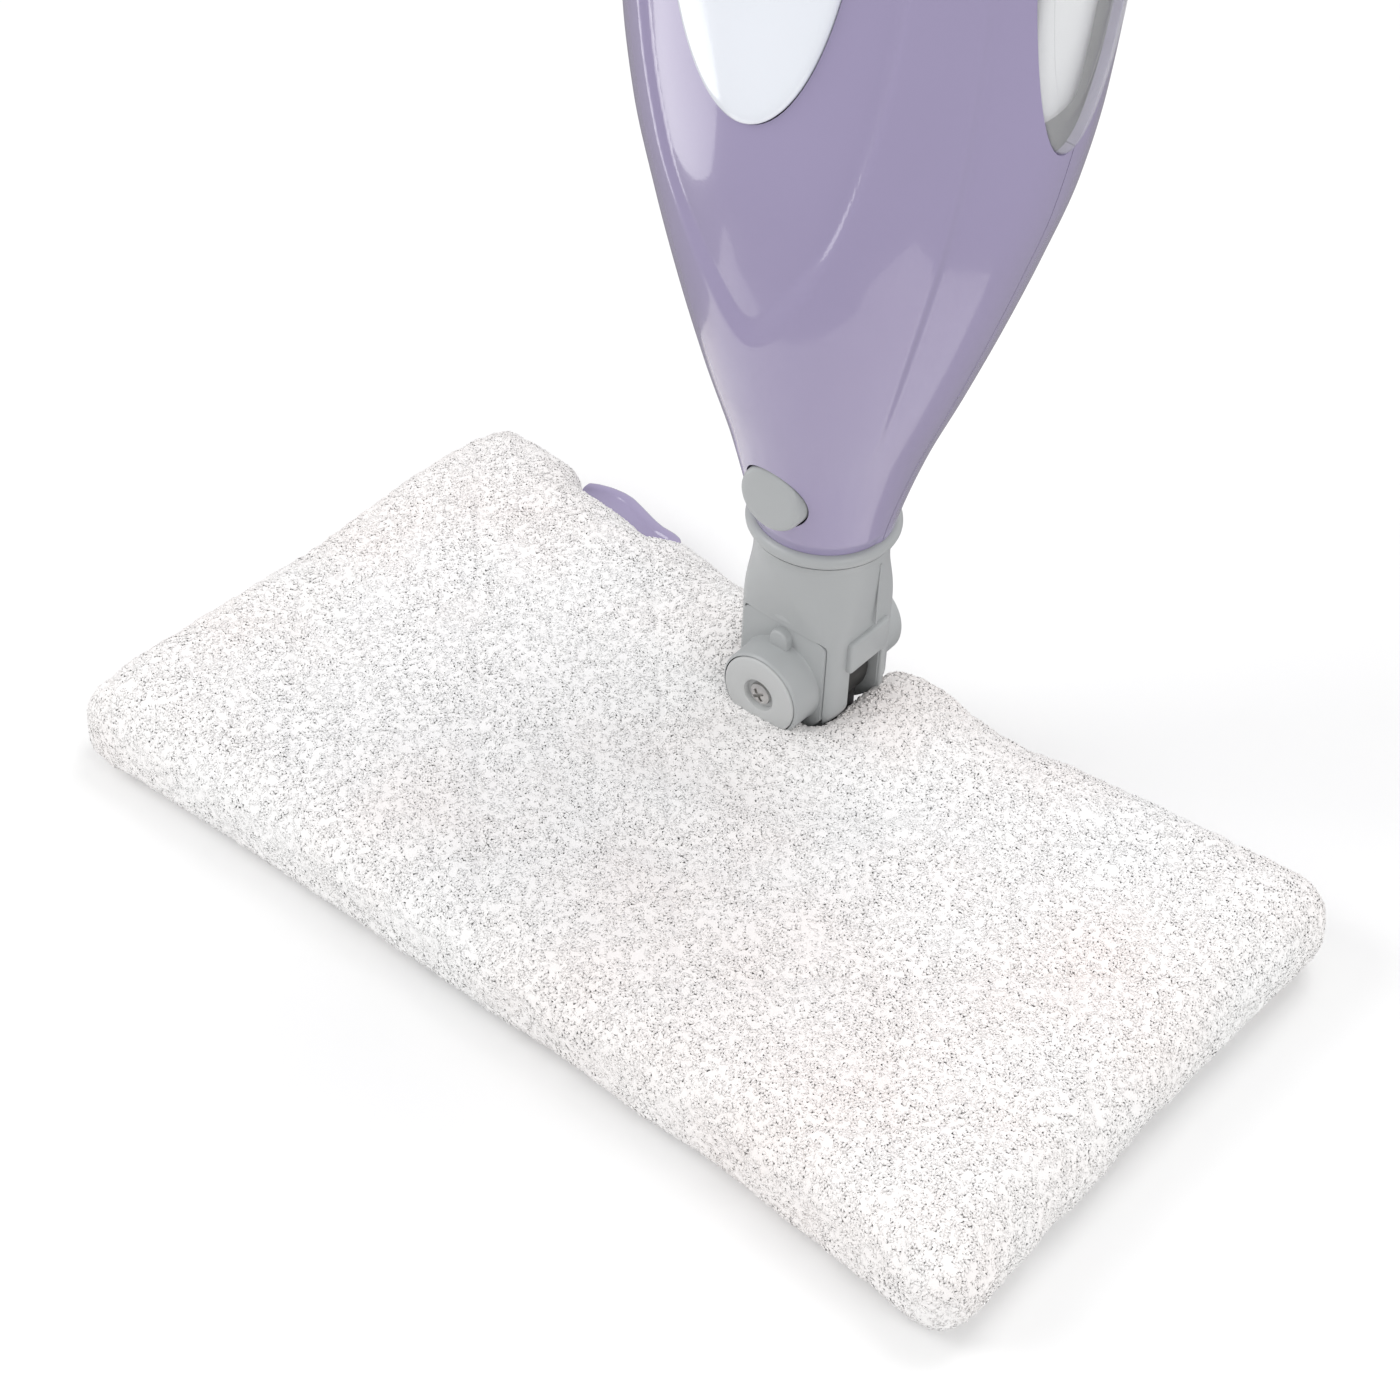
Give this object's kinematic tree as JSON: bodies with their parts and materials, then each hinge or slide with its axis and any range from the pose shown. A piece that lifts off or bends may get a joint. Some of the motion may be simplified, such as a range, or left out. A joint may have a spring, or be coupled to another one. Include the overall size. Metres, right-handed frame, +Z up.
{
  "type": "steam mop",
  "caption": "Upright steam mop with a rectangular padded head, two-axis tilting neck, leaf-shaped body with water tank and boiler, pole and trigger grip.",
  "frame": {"origin": "centre of the mop pad's flat underside, on the floor", "axes": "+Z up the pole, +X along the head's long side, +Y towards the user behind the mop"},
  "size_m": [0.32, 0.1943, 1.1258],
  "materials": {
    "terry": "white looped microfibre terry",
    "lilac_plastic": "gloss",
    "grey_plastic": "satin",
    "pale_grey_plastic": "satin",
    "black_plastic": "satin",
    "white_plastic": "gloss",
    "clear_plastic": "clear",
    "tank_plastic": "translucent white",
    "rubber": "matte",
    "rubber_grip": "matte",
    "silicone": "matte",
    "steel": "zinc plated",
    "aluminium": "satin",
    "brass": "turned",
    "circuit_board": "satin",
    "red_lens": "translucent red"
  },
  "bodies": {
    "head": {"mop_pad": "terry", "head_base": "lilac_plastic", "head_cover": "lilac_plastic", "steam_distributor": "pale_grey_plastic", "head_gasket": "silicone", "steam_inlet_elbow": "brass", "pad_release_tab": "lilac_plastic", "head_screw_1": "steel", "head_screw_2": "steel", "head_screw_3": "steel", "head_screw_4": "steel", "trunnion_cap_left": "black_plastic", "trunnion_cap_right": "black_plastic"},
    "yoke": {"yoke": "black_plastic", "steam_hose": "silicone", "pivot_cap_front": "pale_grey_plastic", "pivot_cap_rear": "pale_grey_plastic", "pivot_screw_front": "steel", "pivot_screw_rear": "steel"},
    "wand": {"neck_tube": "grey_plastic", "neck_cover_front": "grey_plastic", "neck_cover_rear": "grey_plastic", "steam_spigot": "brass", "spigot_seal": "rubber", "front_shell": "lilac_plastic", "rear_shell": "lilac_plastic", "shell_screw_1": "steel", "shell_screw_2": "steel", "shell_screw_3": "steel", "shell_screw_4": "steel", "front_panel": "white_plastic", "tank_window_left": "clear_plastic", "tank_window_right": "clear_plastic", "body_socket": "grey_plastic", "water_tank": "tank_plastic", "tank_valve": "black_plastic", "pump": "black_plastic", "boiler": "aluminium", "steam_pipe": "brass", "tank_hose": "silicone", "boiler_hose": "silicone", "thermostat": "black_plastic", "thermal_fuse": "steel", "control_board": "circuit_board", "indicator_lens": "red_lens", "pole_socket": "grey_plastic", "pole": "aluminium", "lower_cord_hook": "grey_plastic", "grip_front_shell": "lilac_plastic", "grip_rear_shell": "lilac_plastic", "grip_sleeve": "rubber_grip", "steam_switch": "black_plastic", "cord_gland": "rubber"},
    "release_button": {"release_button": "grey_plastic", "button_spring": "steel"},
    "tank_cap": {"tank_cap": "grey_plastic", "cap_seal": "rubber"},
    "power_button": {"power_button": "grey_plastic"},
    "trigger": {"trigger": "grey_plastic"},
    "upper_cord_hook": {"upper_cord_hook": "grey_plastic"}
  },
  "joints": [
    {"name": "neck_tilt", "type": "hinge", "parent": "head", "child": "yoke", "pos_m": [0, 0.0515, 0.024], "axis": [-1, 0, 0], "range_deg": [0, 55]},
    {"name": "neck_swing", "type": "hinge", "parent": "yoke", "child": "wand", "pos_m": [0, 0.0515, 0.046], "axis": [0, 1, 0], "range_deg": [-35, 35]},
    {"name": "release_button_press", "type": "slide", "parent": "wand", "child": "release_button", "axis": [0, 1, 0], "range_m": [0, 0.003], "stiffness_N_per_m": 800, "springref_m": -0.002},
    {"name": "power_button_press", "type": "slide", "parent": "wand", "child": "power_button", "axis": [0, 1, 0], "range_m": [0, 0.002], "stiffness_N_per_m": 800, "springref_m": -0.002},
    {"name": "trigger_pull", "type": "hinge", "parent": "wand", "child": "trigger", "pos_m": [0, 0.0375, 1.01736], "axis": [1, 0, 0], "range_deg": [0, 8], "stiffness_Nm_per_rad": 1, "springref_deg": -5.73},
    {"name": "tank_cap_turn", "type": "hinge", "parent": "wand", "child": "tank_cap", "pos_m": [0, 0.0935, 0.3978], "axis": [0, 1, 0], "range_deg": [0, 90]},
    {"name": "upper_hook_turn", "type": "hinge", "parent": "wand", "child": "upper_cord_hook", "pos_m": [0, 0.0515, 0.9058], "axis": [0, 0, 1], "range_deg": [0, 180]}
  ]
}
